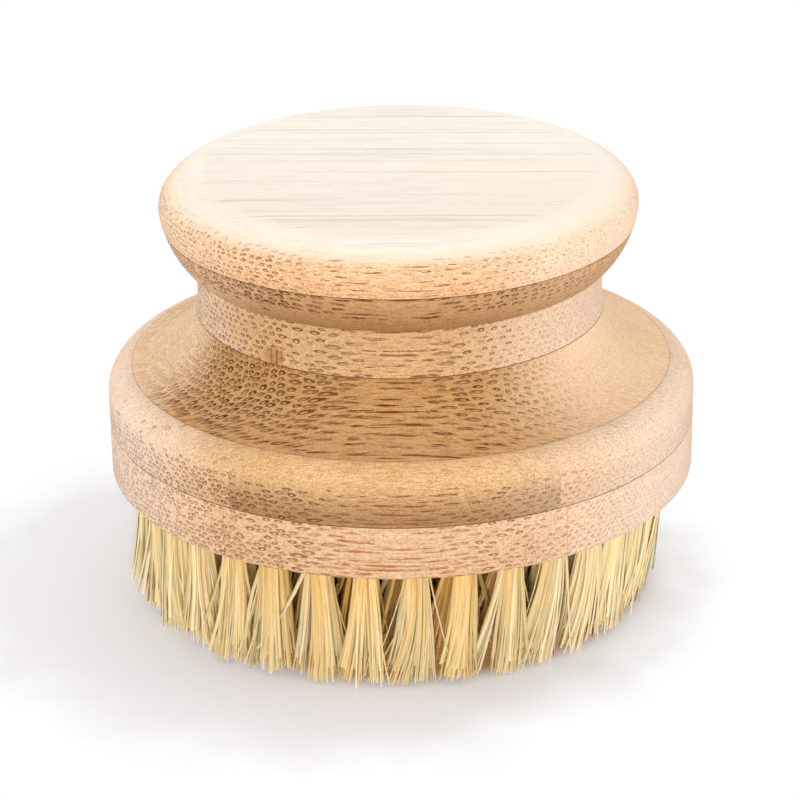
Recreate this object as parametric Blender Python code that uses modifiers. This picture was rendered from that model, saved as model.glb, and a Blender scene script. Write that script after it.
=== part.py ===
"""Round palm brush: a turned block of laminated bamboo, set with rings of plant-fibre tufts.

Metres, +Z up. The origin lies on the block's axis, in the plane of the bristle tips.
The block is six plies of bamboo. The grain runs along X in every ply, and a ply's strips
are glued edge to edge along Y. Each tuft is folded over a wire anchor in a blind hole.
"""

import math

import bmesh
import bpy
from mathutils import Matrix, Vector

# Outline of the turned block
BASE_RADIUS = 0.0450
RIM_ROUND = 0.0006
SHOULDER_REACH = 0.0036
SHOULDER_RISE = 0.0040
SHOULDER_TURN = math.radians(75)
COVE_START = math.radians(15)
NECK_RADIUS = 0.0308
NECK_STRAIGHT = 0.0050
KNOB_OVERHANG = 0.0054
# How full the knob's underside is: 2 is an ellipse, 1 a cone
UNDERCUT_POWER = 1.55
KNOB_EDGE_REACH = 0.0075
KNOB_EDGE_RISE = 0.0050

# Thickness of each ply, from the underside up
BASE_LOWER_PLY = 0.0083
BASE_UPPER_PLY = 0.0087
COVE_PLY = 0.0085
NECK_PLY = 0.0073
KNOB_LOWER_PLY = 0.0067
KNOB_TOP_PLY = 0.0075

# Strips, edge to edge along Y. Each ply has a strip of the full width that starts at its joint.
# Where the turning cut into one more strip, what is left of it is measured in from the edge.
STRIP_WIDTH = 0.0255
BASE_LOWER_JOINT = -0.0120
BASE_UPPER_JOINT = -0.0126
COVE_JOINT = -0.0065
NECK_JOINT = -0.0080
KNOB_LOWER_JOINT = -0.0190
KNOB_TOP_JOINT = -0.0193
BASE_LOWER_EDGE_STRIP = 0.0075
BASE_UPPER_EDGE_STRIP = 0.0068
KNOB_TOP_EDGE_STRIP = 0.0047
GLUE_GAP = 0.0003

# Each ply's name, thickness, joint, and what is left of its front and back edge strips
PLIES = (
    ("base_lower", BASE_LOWER_PLY, BASE_LOWER_JOINT, BASE_LOWER_EDGE_STRIP, BASE_LOWER_EDGE_STRIP),
    ("base_upper", BASE_UPPER_PLY, BASE_UPPER_JOINT, BASE_UPPER_EDGE_STRIP, BASE_UPPER_EDGE_STRIP),
    ("cove", COVE_PLY, COVE_JOINT, 0, 0),
    ("neck", NECK_PLY, NECK_JOINT, 0, 0),
    ("knob_lower", KNOB_LOWER_PLY, KNOB_LOWER_JOINT, 0, 0),
    ("knob_top", KNOB_TOP_PLY, KNOB_TOP_JOINT, 0, KNOB_TOP_EDGE_STRIP),
)
PLY_NAMES = [ply[0] for ply in PLIES]

# Tufts: rings of blind holes in the underside, round one tuft in the middle
BRISTLE_LENGTH = 0.0200
RING_COUNT = 5
RIM_TO_TUFTS = 0.0057
TUFT_PITCH = 0.00726
FIRST_TUFT_ANGLE = math.radians(-85.5)
HOLE_RADIUS = 0.0019
WOOD_OVER_HOLES = 0.0020
ROOT_CLEARANCE = 0.0003

# The slice of the underside that each ring of tufts is fused to
SLICE_THICKNESS = 0.0012
SLICE_MARGIN = 0.0003

# Strands that stand for a tuft's fibres, spreading from the root to the tip
OUTER_STRANDS = 4
INNER_STRANDS = 3
TIP_SPREAD = 0.0022
STRAND_ROOT_RADIUS = 0.00075
STRAND_TIP_RADIUS = 0.00070

# The wire bar that holds a folded tuft down in its hole
ANCHOR_WIRE = 0.0005
ANCHOR_BITE = 0.0002
ANCHOR_INSET = 0.00013

# Facets
BLOCK_STEPS = 64
RING_STEPS = 32
SHOULDER_STEPS = 4
COVE_STEPS = 8
BELLY_STEPS = 7
EDGE_STEPS = 5
HOLE_SIDES = 6
ROOT_SIDES = 4
STRAND_SIDES = 3
WELD = 0.000001
LEAST_RISE = 0.0003
CUTTER_MARGIN = 0.002
SHARP_ANGLE = math.radians(35)

# Colours, roughness and metallic of the surfaces
PALE_BAMBOO = (0.87, 0.72, 0.52)
HONEY_BAMBOO = (0.72, 0.50, 0.28)
BROWN_BAMBOO = (0.60, 0.38, 0.19)
PINK_BAMBOO = (0.78, 0.56, 0.38)
PLY_COLOURS = {
    "base_lower": PINK_BAMBOO,
    "base_upper": HONEY_BAMBOO,
    "cove": BROWN_BAMBOO,
    "neck": HONEY_BAMBOO,
    "knob_lower": BROWN_BAMBOO,
    "knob_top": PALE_BAMBOO,
}
STRIP_TONES = (1.0, 0.94, 1.04, 0.97, 1.02)
BAMBOO_ROUGHNESS = 0.5
FIBRE_COLOUR = (0.86, 0.74, 0.42)
FIBRE_ROUGHNESS = 0.6


def clear_scene():
    for obj in list(bpy.data.objects):
        bpy.data.objects.remove(obj, do_unlink=True)


def new_collection(name):
    collection = bpy.data.collections.new(name)
    bpy.context.scene.collection.children.link(collection)
    return collection


def new_material(name, colour, roughness):
    material = bpy.data.materials.new(name)
    material.use_nodes = True
    shader = material.node_tree.nodes["Principled BSDF"]
    shader.inputs["Base Color"].default_value = (*colour, 1.0)
    shader.inputs["Roughness"].default_value = roughness
    shader.inputs["Metallic"].default_value = 0.0
    return material


def new_object(name, mesh, collection):
    obj = bpy.data.objects.new(name, mesh)
    collection.objects.link(obj)
    return obj


def ply_base(index):
    """Height of a ply's underside above the block's."""
    return sum(ply[1] for ply in PLIES[:index])


def arc(centre, reach, rise, start, end, steps):
    """Points (radius, height) along an elliptical arc, angles measured from straight outwards."""
    turns = [start + (end - start) * step / steps for step in range(steps + 1)]
    return [
        (centre[0] + reach * math.cos(turn), centre[1] + rise * math.sin(turn))
        for turn in turns
    ]


def undercut(centre, reach, rise, steps):
    """Points (radius, height) from straight below the centre out to its side, flatter than an arc."""
    turns = [math.pi / 2 * (1 - step / steps) for step in range(steps + 1)]
    power = 2 / UNDERCUT_POWER
    return [
        (centre[0] + reach * math.cos(turn) ** power, centre[1] - rise * math.sin(turn) ** power)
        for turn in turns
    ]


def block_outline():
    """The turned outline as (radius, height) points, from the underside's rim up to the top face."""
    quarter = math.pi / 2
    shoulder_top = ply_base(PLY_NAMES.index("cove"))
    crease = ply_base(PLY_NAMES.index("knob_lower"))
    belly = ply_base(len(PLIES)) - KNOB_EDGE_RISE

    rim = arc((BASE_RADIUS - RIM_ROUND, RIM_ROUND), RIM_ROUND, RIM_ROUND, -quarter, 0, 2)
    reach = SHOULDER_REACH / (1 - math.cos(SHOULDER_TURN))
    rise = SHOULDER_RISE / math.sin(SHOULDER_TURN)
    centre = (BASE_RADIUS - reach, shoulder_top - SHOULDER_RISE)
    shoulder = arc(centre, reach, rise, 0, SHOULDER_TURN, SHOULDER_STEPS)

    cove_rise = crease - NECK_STRAIGHT - shoulder_top
    reach = (BASE_RADIUS - SHOULDER_REACH - NECK_RADIUS) / (1 - math.sin(COVE_START))
    rise = cove_rise / math.cos(COVE_START)
    centre = (NECK_RADIUS + reach, shoulder_top + cove_rise)
    cove = arc(centre, reach, rise, -quarter - COVE_START, -math.pi, COVE_STEPS)

    under = undercut((NECK_RADIUS, belly), KNOB_OVERHANG, belly - crease, BELLY_STEPS)
    centre = (NECK_RADIUS + KNOB_OVERHANG - KNOB_EDGE_REACH, belly)
    edge = arc(centre, KNOB_EDGE_REACH, KNOB_EDGE_RISE, 0, quarter, EDGE_STEPS)
    return rim + shoulder + cove[1:] + under + edge[1:]


def outline_between(low, high):
    """The stretch of the block's outline between two heights, cut square at both."""
    outline = block_outline()
    inside = [
        point
        for point in outline
        if low + LEAST_RISE < point[1] < high - LEAST_RISE
    ]
    return [radius_at(outline, low), *inside, radius_at(outline, high)]


def radius_at(outline, height):
    """The outline's point at a height, which is held within the block."""
    if height <= outline[0][1]:
        return outline[0]
    for (radius_a, height_a), (radius_b, height_b) in zip(outline, outline[1:]):
        if height_a < height_b and height <= height_b + WELD:
            share = (height - height_a) / (height_b - height_a)
            return (radius_a + share * (radius_b - radius_a), height)
    return outline[-1]


def turned(name, profile, closed, steps, collection):
    """An object that turns a profile, which runs down its outer side, once round the Z axis."""
    shape = bmesh.new()
    points = [shape.verts.new((radius, 0, height)) for radius, height in profile]
    for first, second in zip(points, points[1:]):
        shape.edges.new((first, second))
    if closed:
        shape.edges.new((points[-1], points[0]))
    mesh = bpy.data.meshes.new(name)
    shape.to_mesh(mesh)
    shape.free()
    obj = new_object(name, mesh, collection)
    screw = obj.modifiers.new("turn", "SCREW")
    screw.axis = "Z"
    screw.angle = 2 * math.pi
    screw.steps = steps
    screw.render_steps = steps
    screw.use_merge_vertices = True
    screw.merge_threshold = WELD
    screw.use_smooth_shade = False
    return obj


def as_cutter(obj):
    obj.hide_render = True
    obj.display_type = "WIRE"
    return obj


def box(name, low, high, collection):
    shape = bmesh.new()
    bmesh.ops.create_cube(shape, size=1)
    size = Vector(high) - Vector(low)
    middle = (Vector(high) + Vector(low)) / 2
    bmesh.ops.scale(shape, vec=size, verts=shape.verts)
    bmesh.ops.translate(shape, vec=middle, verts=shape.verts)
    mesh = bpy.data.meshes.new(name)
    shape.to_mesh(mesh)
    shape.free()
    return new_object(name, mesh, collection)


def boolean(obj, operation, other):
    modifier = obj.modifiers.new(operation.lower(), "BOOLEAN")
    modifier.operation = operation
    modifier.object = other


def keep_shape(obj):
    """Makes the object's modifiers its mesh, shaded smooth except at sharp edges."""
    graph = bpy.context.evaluated_depsgraph_get()
    mesh = bpy.data.meshes.new_from_object(obj.evaluated_get(graph), depsgraph=graph)
    obj.modifiers.clear()
    obj.data = mesh
    mesh.shade_smooth()
    mesh.set_sharp_from_angle(angle=SHARP_ANGLE)


def tuft_rings():
    """(radius, count) of each ring of tufts, from the outermost in; the last is the centre tuft."""
    outermost = BASE_RADIUS - RIM_TO_TUFTS
    radii = [outermost * (1 - number / RING_COUNT) for number in range(RING_COUNT)]
    return [(radius, round(2 * math.pi * radius / TUFT_PITCH)) for radius in radii] + [(0.0, 1)]


def hole_top():
    return BRISTLE_LENGTH + ply_base(1) - WOOD_OVER_HOLES


def tuft_places(radius, count):
    """(x, y, angle) of each tuft in a ring."""
    angles = [FIRST_TUFT_ANGLE + 2 * math.pi * number / count for number in range(count)]
    return [(radius * math.cos(angle), radius * math.sin(angle), angle) for angle in angles]


def slice_bounds(number):
    """Inner and outer radius of a ring's slice of the underside; the centre slice is a disc."""
    rings = tuft_rings()
    if number == 0:
        outer = rings[0][0] + HOLE_RADIUS + SLICE_MARGIN
    else:
        outer = (rings[number - 1][0] + rings[number][0]) / 2 - GLUE_GAP / 2
    if number == len(rings) - 1:
        return 0.0, outer
    return (rings[number][0] + rings[number + 1][0]) / 2 + GLUE_GAP / 2, outer


def make_hole_cutters(cutters):
    """The shallow pocket that takes the slices, and the blind holes above it."""
    radius = slice_bounds(0)[1] + GLUE_GAP
    low = BRISTLE_LENGTH - CUTTER_MARGIN
    high = BRISTLE_LENGTH + SLICE_THICKNESS + GLUE_GAP
    profile = [(0, high), (radius, high), (radius, low), (0, low)]
    pocket = turned("pocket", profile, False, RING_STEPS, cutters)

    shape = bmesh.new()
    height = hole_top() - low
    middle = hole_top() - height / 2
    for ring_radius, count in tuft_rings():
        for x, y, angle in tuft_places(ring_radius, count):
            bmesh.ops.create_cone(
                shape,
                cap_ends=True,
                segments=HOLE_SIDES,
                radius1=HOLE_RADIUS,
                radius2=HOLE_RADIUS,
                depth=height,
                matrix=Matrix.Translation((x, y, middle)) @ Matrix.Rotation(angle, 4, "Z"),
            )
    mesh = bpy.data.meshes.new("tuft_holes")
    shape.to_mesh(mesh)
    shape.free()
    holes = new_object("tuft_holes", mesh, cutters)
    return [as_cutter(pocket), as_cutter(holes)]


def strip_edges(widest, joint, front_edge, back_edge):
    """Where a ply's strips begin and end along Y, out past its widest radius."""
    front = [front_edge - widest] if front_edge else []
    back = [widest - back_edge] if back_edge else []
    reach = widest + CUTTER_MARGIN
    return [-reach, *front, joint, joint + STRIP_WIDTH, *back, reach]


def make_plies(parts, cutters):
    """Every ply's strips: the turned ply, cut to each strip's width."""
    hole_cutters = make_hole_cutters(cutters)
    for index, (name, _, joint, front_edge, back_edge) in enumerate(PLIES):
        low = ply_base(index) + (GLUE_GAP / 2 if index else 0)
        high = ply_base(index + 1) - (GLUE_GAP / 2 if index < len(PLIES) - 1 else 0)
        side = [(radius, BRISTLE_LENGTH + height) for radius, height in outline_between(low, high)]
        profile = [(0, side[-1][1]), *reversed(side), (0, side[0][1])]
        widest = max(radius for radius, height in side)
        reach = widest + CUTTER_MARGIN
        edges = strip_edges(widest, joint, front_edge, back_edge)
        for number, (front, back) in enumerate(zip(edges, edges[1:])):
            strip_name = f"{name}_strip_{number + 1}"
            strip = turned(strip_name, profile, False, BLOCK_STEPS, parts)
            corners = (
                (-reach, front + GLUE_GAP / 2, side[0][1] - CUTTER_MARGIN),
                (reach, back - GLUE_GAP / 2, side[-1][1] + CUTTER_MARGIN),
            )
            boolean(strip, "INTERSECT", as_cutter(box(f"{strip_name}_width", *corners, cutters)))
            if index == 0:
                for cutter in hole_cutters:
                    boolean(strip, "DIFFERENCE", cutter)
            keep_shape(strip)
            tone = STRIP_TONES[(number + index) % len(STRIP_TONES)]
            colour = [min(1.0, channel * tone) for channel in PLY_COLOURS[name]]
            strip.data.materials.append(new_material(strip_name, colour, BAMBOO_ROUGHNESS))


def add_prism(shape, sides, bottom, top, bottom_radius, top_radius, turn):
    """Adds a tapered prism between two level faces, whose centres needn't be in line."""
    bottom, top = Vector(bottom), Vector(top)
    made = bmesh.ops.create_cone(
        shape,
        cap_ends=True,
        segments=sides,
        radius1=bottom_radius,
        radius2=top_radius,
        depth=top.z - bottom.z,
        matrix=Matrix.Rotation(turn, 4, "Z"),
    )
    half = (top.z - bottom.z) / 2
    for vert in made["verts"]:
        centre = top if vert.co.z > 0 else bottom
        vert.co += centre - Vector((0, 0, half if vert.co.z > 0 else -half))


def make_tuft_ring(number, radius, count, parts, cutters):
    """A ring's slice of the underside, with the tufts' strands below it and their roots above."""
    underside = BRISTLE_LENGTH
    slice_top = underside + SLICE_THICKNESS
    inner, outer = slice_bounds(number)
    profile = [(inner, slice_top), (outer, slice_top), (outer, underside), (inner, underside)]
    name = f"tuft_ring_{number + 1}" if radius else "tuft_centre"
    ring = turned(name, profile, radius > 0, RING_STEPS, parts)

    strand_count = OUTER_STRANDS if number == 0 else INNER_STRANDS
    strand_top = underside + SLICE_THICKNESS / 3
    root_bottom = slice_top - SLICE_THICKNESS / 3
    anchor_top = hole_top() - ROOT_CLEARANCE
    root_top = anchor_top - ANCHOR_WIRE
    root_radius = HOLE_RADIUS - ROOT_CLEARANCE
    anchor_length = 2 * (root_radius * math.cos(math.pi / ROOT_SIDES) - ANCHOR_INSET)
    root_spread = HOLE_RADIUS - STRAND_ROOT_RADIUS
    fibres = bmesh.new()
    anchors = bmesh.new()
    for x, y, angle in tuft_places(radius, count):
        ends = ((x, y, root_bottom), (x, y, root_top))
        add_prism(fibres, ROOT_SIDES, *ends, root_radius, root_radius, angle + math.pi / 4)
        for strand in range(strand_count):
            turn = angle + 2 * math.pi * (strand + 0.5) / strand_count
            along = Vector((math.cos(turn), math.sin(turn), 0))
            tip = Vector((x, y, 0)) + TIP_SPREAD * along
            root = Vector((x, y, strand_top)) + root_spread * along
            add_prism(fibres, STRAND_SIDES, tip, root, STRAND_TIP_RADIUS, STRAND_ROOT_RADIUS, turn)
        place = Matrix.Translation((x, y, anchor_top - (ANCHOR_WIRE + ANCHOR_BITE) / 2))
        size = Matrix.Diagonal((anchor_length, ANCHOR_WIRE, ANCHOR_WIRE + ANCHOR_BITE, 1))
        bmesh.ops.create_cube(anchors, size=1, matrix=place @ Matrix.Rotation(angle, 4, "Z") @ size)

    for part_name, shape in (("fibres", fibres), ("anchors", anchors)):
        mesh = bpy.data.meshes.new(f"{name}_{part_name}")
        shape.to_mesh(mesh)
        shape.free()
        boolean(ring, "UNION", as_cutter(new_object(mesh.name, mesh, cutters)))
    keep_shape(ring)
    ring.data.materials.append(new_material(name, FIBRE_COLOUR, FIBRE_ROUGHNESS))


def main():
    clear_scene()
    parts = new_collection("bamboo_palm_brush")
    cutters = new_collection("cutters")
    make_plies(parts, cutters)
    for number, (radius, count) in enumerate(tuft_rings()):
        make_tuft_ring(number, radius, count, parts, cutters)
    cutters.hide_render = True


main()
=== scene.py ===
"""Dresses the round palm brush: turned and glued strips of bamboo, set with tufts of plant fibre.

Metres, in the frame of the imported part. The block's axis is Z, the fibre tips lie at Z 0, and the
bamboo's grain runs along X. Places and sizes come from the frame's nodes where they hold them.
"""

import math
from dataclasses import dataclass

import bmesh
import bpy
import numpy as np
from mathutils import Matrix, Vector


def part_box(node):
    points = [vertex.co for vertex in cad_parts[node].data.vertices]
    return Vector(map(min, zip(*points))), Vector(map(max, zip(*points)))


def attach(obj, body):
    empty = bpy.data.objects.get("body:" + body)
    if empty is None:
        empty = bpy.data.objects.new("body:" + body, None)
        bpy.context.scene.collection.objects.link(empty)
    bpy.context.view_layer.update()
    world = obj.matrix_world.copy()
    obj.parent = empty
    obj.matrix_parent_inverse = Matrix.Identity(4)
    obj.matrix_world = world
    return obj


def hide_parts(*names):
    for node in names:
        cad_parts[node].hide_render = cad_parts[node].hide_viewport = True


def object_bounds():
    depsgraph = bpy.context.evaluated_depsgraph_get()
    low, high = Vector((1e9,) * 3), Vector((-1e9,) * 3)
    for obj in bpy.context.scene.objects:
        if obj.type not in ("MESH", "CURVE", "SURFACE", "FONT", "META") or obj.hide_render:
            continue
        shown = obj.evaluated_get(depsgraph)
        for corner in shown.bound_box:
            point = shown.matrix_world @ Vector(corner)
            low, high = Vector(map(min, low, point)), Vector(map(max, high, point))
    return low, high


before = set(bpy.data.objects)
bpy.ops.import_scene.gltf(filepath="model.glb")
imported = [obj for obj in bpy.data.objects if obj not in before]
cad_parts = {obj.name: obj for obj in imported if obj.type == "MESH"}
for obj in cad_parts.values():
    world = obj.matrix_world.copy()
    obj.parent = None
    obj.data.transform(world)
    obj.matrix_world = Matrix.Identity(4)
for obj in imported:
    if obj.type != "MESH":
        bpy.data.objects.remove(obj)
cad_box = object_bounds()

MM = 0.001

# Outline of the turned block, as the solids have it
RIM_ROUND = 0.6 * MM
SHOULDER_REACH = 3.6 * MM
SHOULDER_RISE = 4.0 * MM
SHOULDER_TURN = math.radians(75)
COVE_START = math.radians(15)
NECK_RADIUS = 30.8 * MM
NECK_STRAIGHT = 5.0 * MM
KNOB_EDGE_REACH = 7.5 * MM
KNOB_EDGE_RISE = 5.0 * MM
UNDERCUT_POWER = 1.55

# Glue lines between plies and strips
SEAM_GAP = 0.02 * MM
SEAM_BEVEL = 0.07 * MM

# Facets of the turned surface
TURN_STEPS = 288
RIM_STEPS = 4
SHOULDER_STEPS = 14
COVE_STEPS = 22
BELLY_STEPS = 18
EDGE_STEPS = 16
SMOOTH_ANGLE = math.radians(32)

# Tufts and the drilled holes that hold them
RING_COUNT = 5
RIM_TO_TUFTS = 5.7 * MM
TUFT_PITCH = 7.26 * MM
FIRST_TUFT_ANGLE = math.radians(-85.5)
HOLE_RADIUS = 1.9 * MM
HOLE_DEPTH = 6.3 * MM
HOLE_SIDES = 20
DRILL_BELOW = 1 * MM

PLY_NAMES = ("base_lower", "base_upper", "cove", "neck", "knob_lower", "knob_top")


def strips_of(ply):
    """The frame's nodes that are one ply's strips, front to back."""
    names = [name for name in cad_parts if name.startswith(f"{ply}_strip_")]
    return sorted(names, key=lambda name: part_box(name)[0].y)


def ply_levels():
    """Height of every ply's underside, and of the top face: seams lie midway between the solids."""
    boxes = [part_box(strips_of(ply)[0]) for ply in PLY_NAMES]
    seams = [(below[1].z + above[0].z) / 2 for below, above in zip(boxes, boxes[1:])]
    return [boxes[0][0].z, *seams, boxes[-1][1].z]


LEVELS = ply_levels()
UNDERSIDE = LEVELS[0]
BASE_RADIUS = cad_box[1].x
KNOB_RADIUS = max(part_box(name)[1].x for name in strips_of("knob_top"))


# Turned outline


def arc(centre, reach, rise, start, end, steps):
    """Points (radius, height) along an elliptical arc, angles measured from straight outwards."""
    turns = np.linspace(start, end, steps + 1)
    return [(centre[0] + reach * math.cos(t), centre[1] + rise * math.sin(t)) for t in turns]


def undercut(centre, reach, rise, steps):
    """Points (radius, height) from straight below the centre to its side, flatter than an arc."""
    turns = np.linspace(math.pi / 2, 0, steps + 1)
    power = 2 / UNDERCUT_POWER
    return [
        (centre[0] + reach * math.cos(t) ** power, centre[1] - rise * math.sin(t) ** power)
        for t in turns
    ]


def block_outline():
    """(radius, height) points from the underside's rim up to the edge of the top face."""
    quarter = math.pi / 2
    shoulder_top = LEVELS[PLY_NAMES.index("cove")]
    crease = LEVELS[PLY_NAMES.index("knob_lower")]
    belly = LEVELS[-1] - KNOB_EDGE_RISE

    centre = (BASE_RADIUS - RIM_ROUND, UNDERSIDE + RIM_ROUND)
    rim = arc(centre, RIM_ROUND, RIM_ROUND, -quarter, 0, RIM_STEPS)

    reach = SHOULDER_REACH / (1 - math.cos(SHOULDER_TURN))
    rise = SHOULDER_RISE / math.sin(SHOULDER_TURN)
    centre = (BASE_RADIUS - reach, shoulder_top - SHOULDER_RISE)
    shoulder = arc(centre, reach, rise, 0, SHOULDER_TURN, SHOULDER_STEPS)

    cove_rise = crease - NECK_STRAIGHT - shoulder_top
    reach = (BASE_RADIUS - SHOULDER_REACH - NECK_RADIUS) / (1 - math.sin(COVE_START))
    rise = cove_rise / math.cos(COVE_START)
    centre = (NECK_RADIUS + reach, shoulder_top + cove_rise)
    cove = arc(centre, reach, rise, -quarter - COVE_START, -math.pi, COVE_STEPS)

    overhang = KNOB_RADIUS - NECK_RADIUS
    under = undercut((NECK_RADIUS, belly), overhang, belly - crease, BELLY_STEPS)
    centre = (KNOB_RADIUS - KNOB_EDGE_REACH, belly)
    edge = arc(centre, KNOB_EDGE_REACH, KNOB_EDGE_RISE, 0, quarter, EDGE_STEPS)
    return rim + shoulder + cove[1:] + under + edge[1:]


def radius_at(outline, height):
    """The outline's radius at a height."""
    heights = [point[1] for point in outline]
    return float(np.interp(height, heights, [point[0] for point in outline]))


def ply_profile(outline, low, high, bevel_low, bevel_high):
    """The outline between two heights, with a small bevel where the ply meets a seam."""
    least = SEAM_BEVEL * 1.5
    inside = [point for point in outline if low + least < point[1] < high - least]
    bottom = [outline[0]]
    if bevel_low:
        radius = radius_at(outline, low)
        bottom = [
            (radius - SEAM_BEVEL, low),
            (radius_at(outline, low + SEAM_BEVEL), low + SEAM_BEVEL),
        ]
    top = [outline[-1]]
    if bevel_high:
        radius = radius_at(outline, high)
        top = [
            (radius_at(outline, high - SEAM_BEVEL), high - SEAM_BEVEL),
            (radius - SEAM_BEVEL, high),
        ]
    return bottom + inside + top


def turned_ply(name, profile):
    """A closed mesh that turns the profile round Z, with a flat face at each end."""
    turns = np.linspace(0, 2 * math.pi, TURN_STEPS, endpoint=False)
    shape = bmesh.new()
    rings = [
        [shape.verts.new((radius * math.cos(t), radius * math.sin(t), height)) for t in turns]
        for radius, height in profile
    ]
    for lower, upper in zip(rings, rings[1:]):
        for number in range(TURN_STEPS):
            after = (number + 1) % TURN_STEPS
            shape.faces.new((lower[number], lower[after], upper[after], upper[number]))
    shape.faces.new(list(reversed(rings[0])))
    shape.faces.new(rings[-1])
    mesh = bpy.data.meshes.new(name)
    shape.to_mesh(mesh)
    shape.free()
    return mesh


def new_object(name, data):
    obj = bpy.data.objects.new(name, data)
    bpy.context.scene.collection.objects.link(obj)
    return obj


def smooth(mesh):
    mesh.shade_smooth()
    mesh.set_sharp_from_angle(angle=SMOOTH_ANGLE)


# Strips


def tuft_rings():
    """(radius, count) of each ring of tufts, from the outermost in; the last is the centre tuft."""
    outermost = BASE_RADIUS - RIM_TO_TUFTS
    radii = [outermost * (1 - number / RING_COUNT) for number in range(RING_COUNT)]
    return [(radius, round(2 * math.pi * radius / TUFT_PITCH)) for radius in radii] + [(0.0, 1)]


def tuft_places(radius, count):
    """(x, y, angle) of each tuft in a ring."""
    angles = [FIRST_TUFT_ANGLE + 2 * math.pi * number / count for number in range(count)]
    return [(radius * math.cos(angle), radius * math.sin(angle), angle) for angle in angles]


def drilled(mesh):
    """The lowest ply's mesh with a blind hole for every tuft."""
    shape = bmesh.new()
    top = UNDERSIDE + HOLE_DEPTH
    bottom = UNDERSIDE - DRILL_BELOW
    for radius, count in tuft_rings():
        for x, y, _ in tuft_places(radius, count):
            bmesh.ops.create_cone(
                shape,
                cap_ends=True,
                segments=HOLE_SIDES,
                radius1=HOLE_RADIUS,
                radius2=HOLE_RADIUS,
                depth=top - bottom,
                matrix=Matrix.Translation((x, y, (top + bottom) / 2)),
            )
    drills = bpy.data.meshes.new("drills")
    shape.to_mesh(drills)
    shape.free()

    block = new_object("drilled_block", mesh)
    cutter = new_object("drills", drills)
    cut = block.modifiers.new("drill", "BOOLEAN")
    cut.operation = "DIFFERENCE"
    cut.object = cutter
    graph = bpy.context.evaluated_depsgraph_get()
    result = bpy.data.meshes.new_from_object(block.evaluated_get(graph), depsgraph=graph)
    bpy.data.objects.remove(block)
    bpy.data.objects.remove(cutter)
    return result


def cut_strip(name, ply_mesh, front, back):
    """The part of a ply between two places along Y, closed where it was cut."""
    shape = bmesh.new()
    shape.from_mesh(ply_mesh)
    for place, side in ((front, -1), (back, 1)):
        if place is None:
            continue
        whole = shape.verts[:] + shape.edges[:] + shape.faces[:]
        bmesh.ops.bisect_plane(
            shape,
            geom=whole,
            plane_co=(0, place, 0),
            plane_no=(0, side, 0),
            clear_outer=True,
        )
        open_edges = [edge for edge in shape.edges if edge.is_boundary]
        bmesh.ops.edgenet_fill(shape, edges=open_edges)
    bmesh.ops.recalc_face_normals(shape, faces=shape.faces)
    mesh = bpy.data.meshes.new(name)
    shape.to_mesh(mesh)
    shape.free()
    return mesh


def make_strips():
    """Every bamboo strip as its own piece, in place of its node."""
    outline = block_outline()
    for index, ply in enumerate(PLY_NAMES):
        low = LEVELS[index] + (SEAM_GAP / 2 if index else 0)
        last = index == len(PLY_NAMES) - 1
        high = LEVELS[index + 1] - (0 if last else SEAM_GAP / 2)
        mesh = turned_ply(ply, ply_profile(outline, low, high, index > 0, not last))
        if index == 0:
            mesh = drilled(mesh)
        nodes = strips_of(ply)
        joints = [
            (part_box(front)[1].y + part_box(back)[0].y) / 2 for front, back in zip(nodes, nodes[1:])
        ]
        edges = [None, *joints, None]
        for number, node in enumerate(nodes):
            front, back = edges[number], edges[number + 1]
            front = None if front is None else front + SEAM_GAP / 2
            back = None if back is None else back - SEAM_GAP / 2
            piece_mesh = cut_strip(f"{node}_bamboo", mesh, front, back)
            smooth(piece_mesh)
            piece = new_object(f"{node}_bamboo", piece_mesh)
            piece_mesh.materials.append(bamboo(ply, number, joints))
            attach(piece, "root")
            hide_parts(node)


# Materials


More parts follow.
